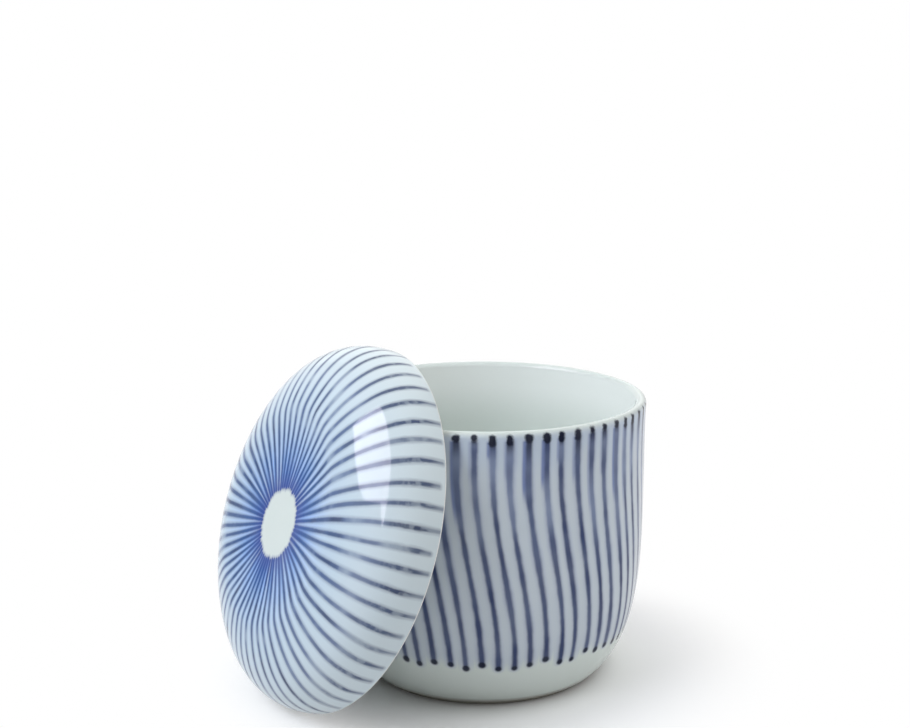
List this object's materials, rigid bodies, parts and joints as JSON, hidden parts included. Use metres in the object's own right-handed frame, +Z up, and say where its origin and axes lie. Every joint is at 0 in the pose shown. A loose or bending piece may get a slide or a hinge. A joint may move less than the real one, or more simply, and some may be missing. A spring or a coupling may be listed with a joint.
{
  "type": "chawanmushi cup",
  "caption": "Lidded steam cup: a straight-sided porcelain cup with a rounded base, and its knobless domed lid leaning on the rim; fine blue stripes all over.",
  "frame": {"origin": "middle of the outer box's base: on the table, between the cup and the leaning lid", "axes": "+Z up, +X from the leaning lid to the cup's far side, +Y across"},
  "size_m": [0.1054, 0.088, 0.084],
  "materials": {
    "cup_glaze": "clear pale blue-green glaze over hand-painted blue upright stripes, plain inside",
    "lid_glaze": "clear pale blue-green glaze over hand-painted blue stripes that run out from a bare spot on top"
  },
  "bodies": {
    "cup": {"cup": "cup_glaze"},
    "lid": {"lid": "lid_glaze"}
  },
  "joints": [
    {"name": "lid_lift", "type": "slide", "parent": "cup", "child": "lid", "axis": [0, 0, 1], "range_m": [0, 0.095]}
  ]
}
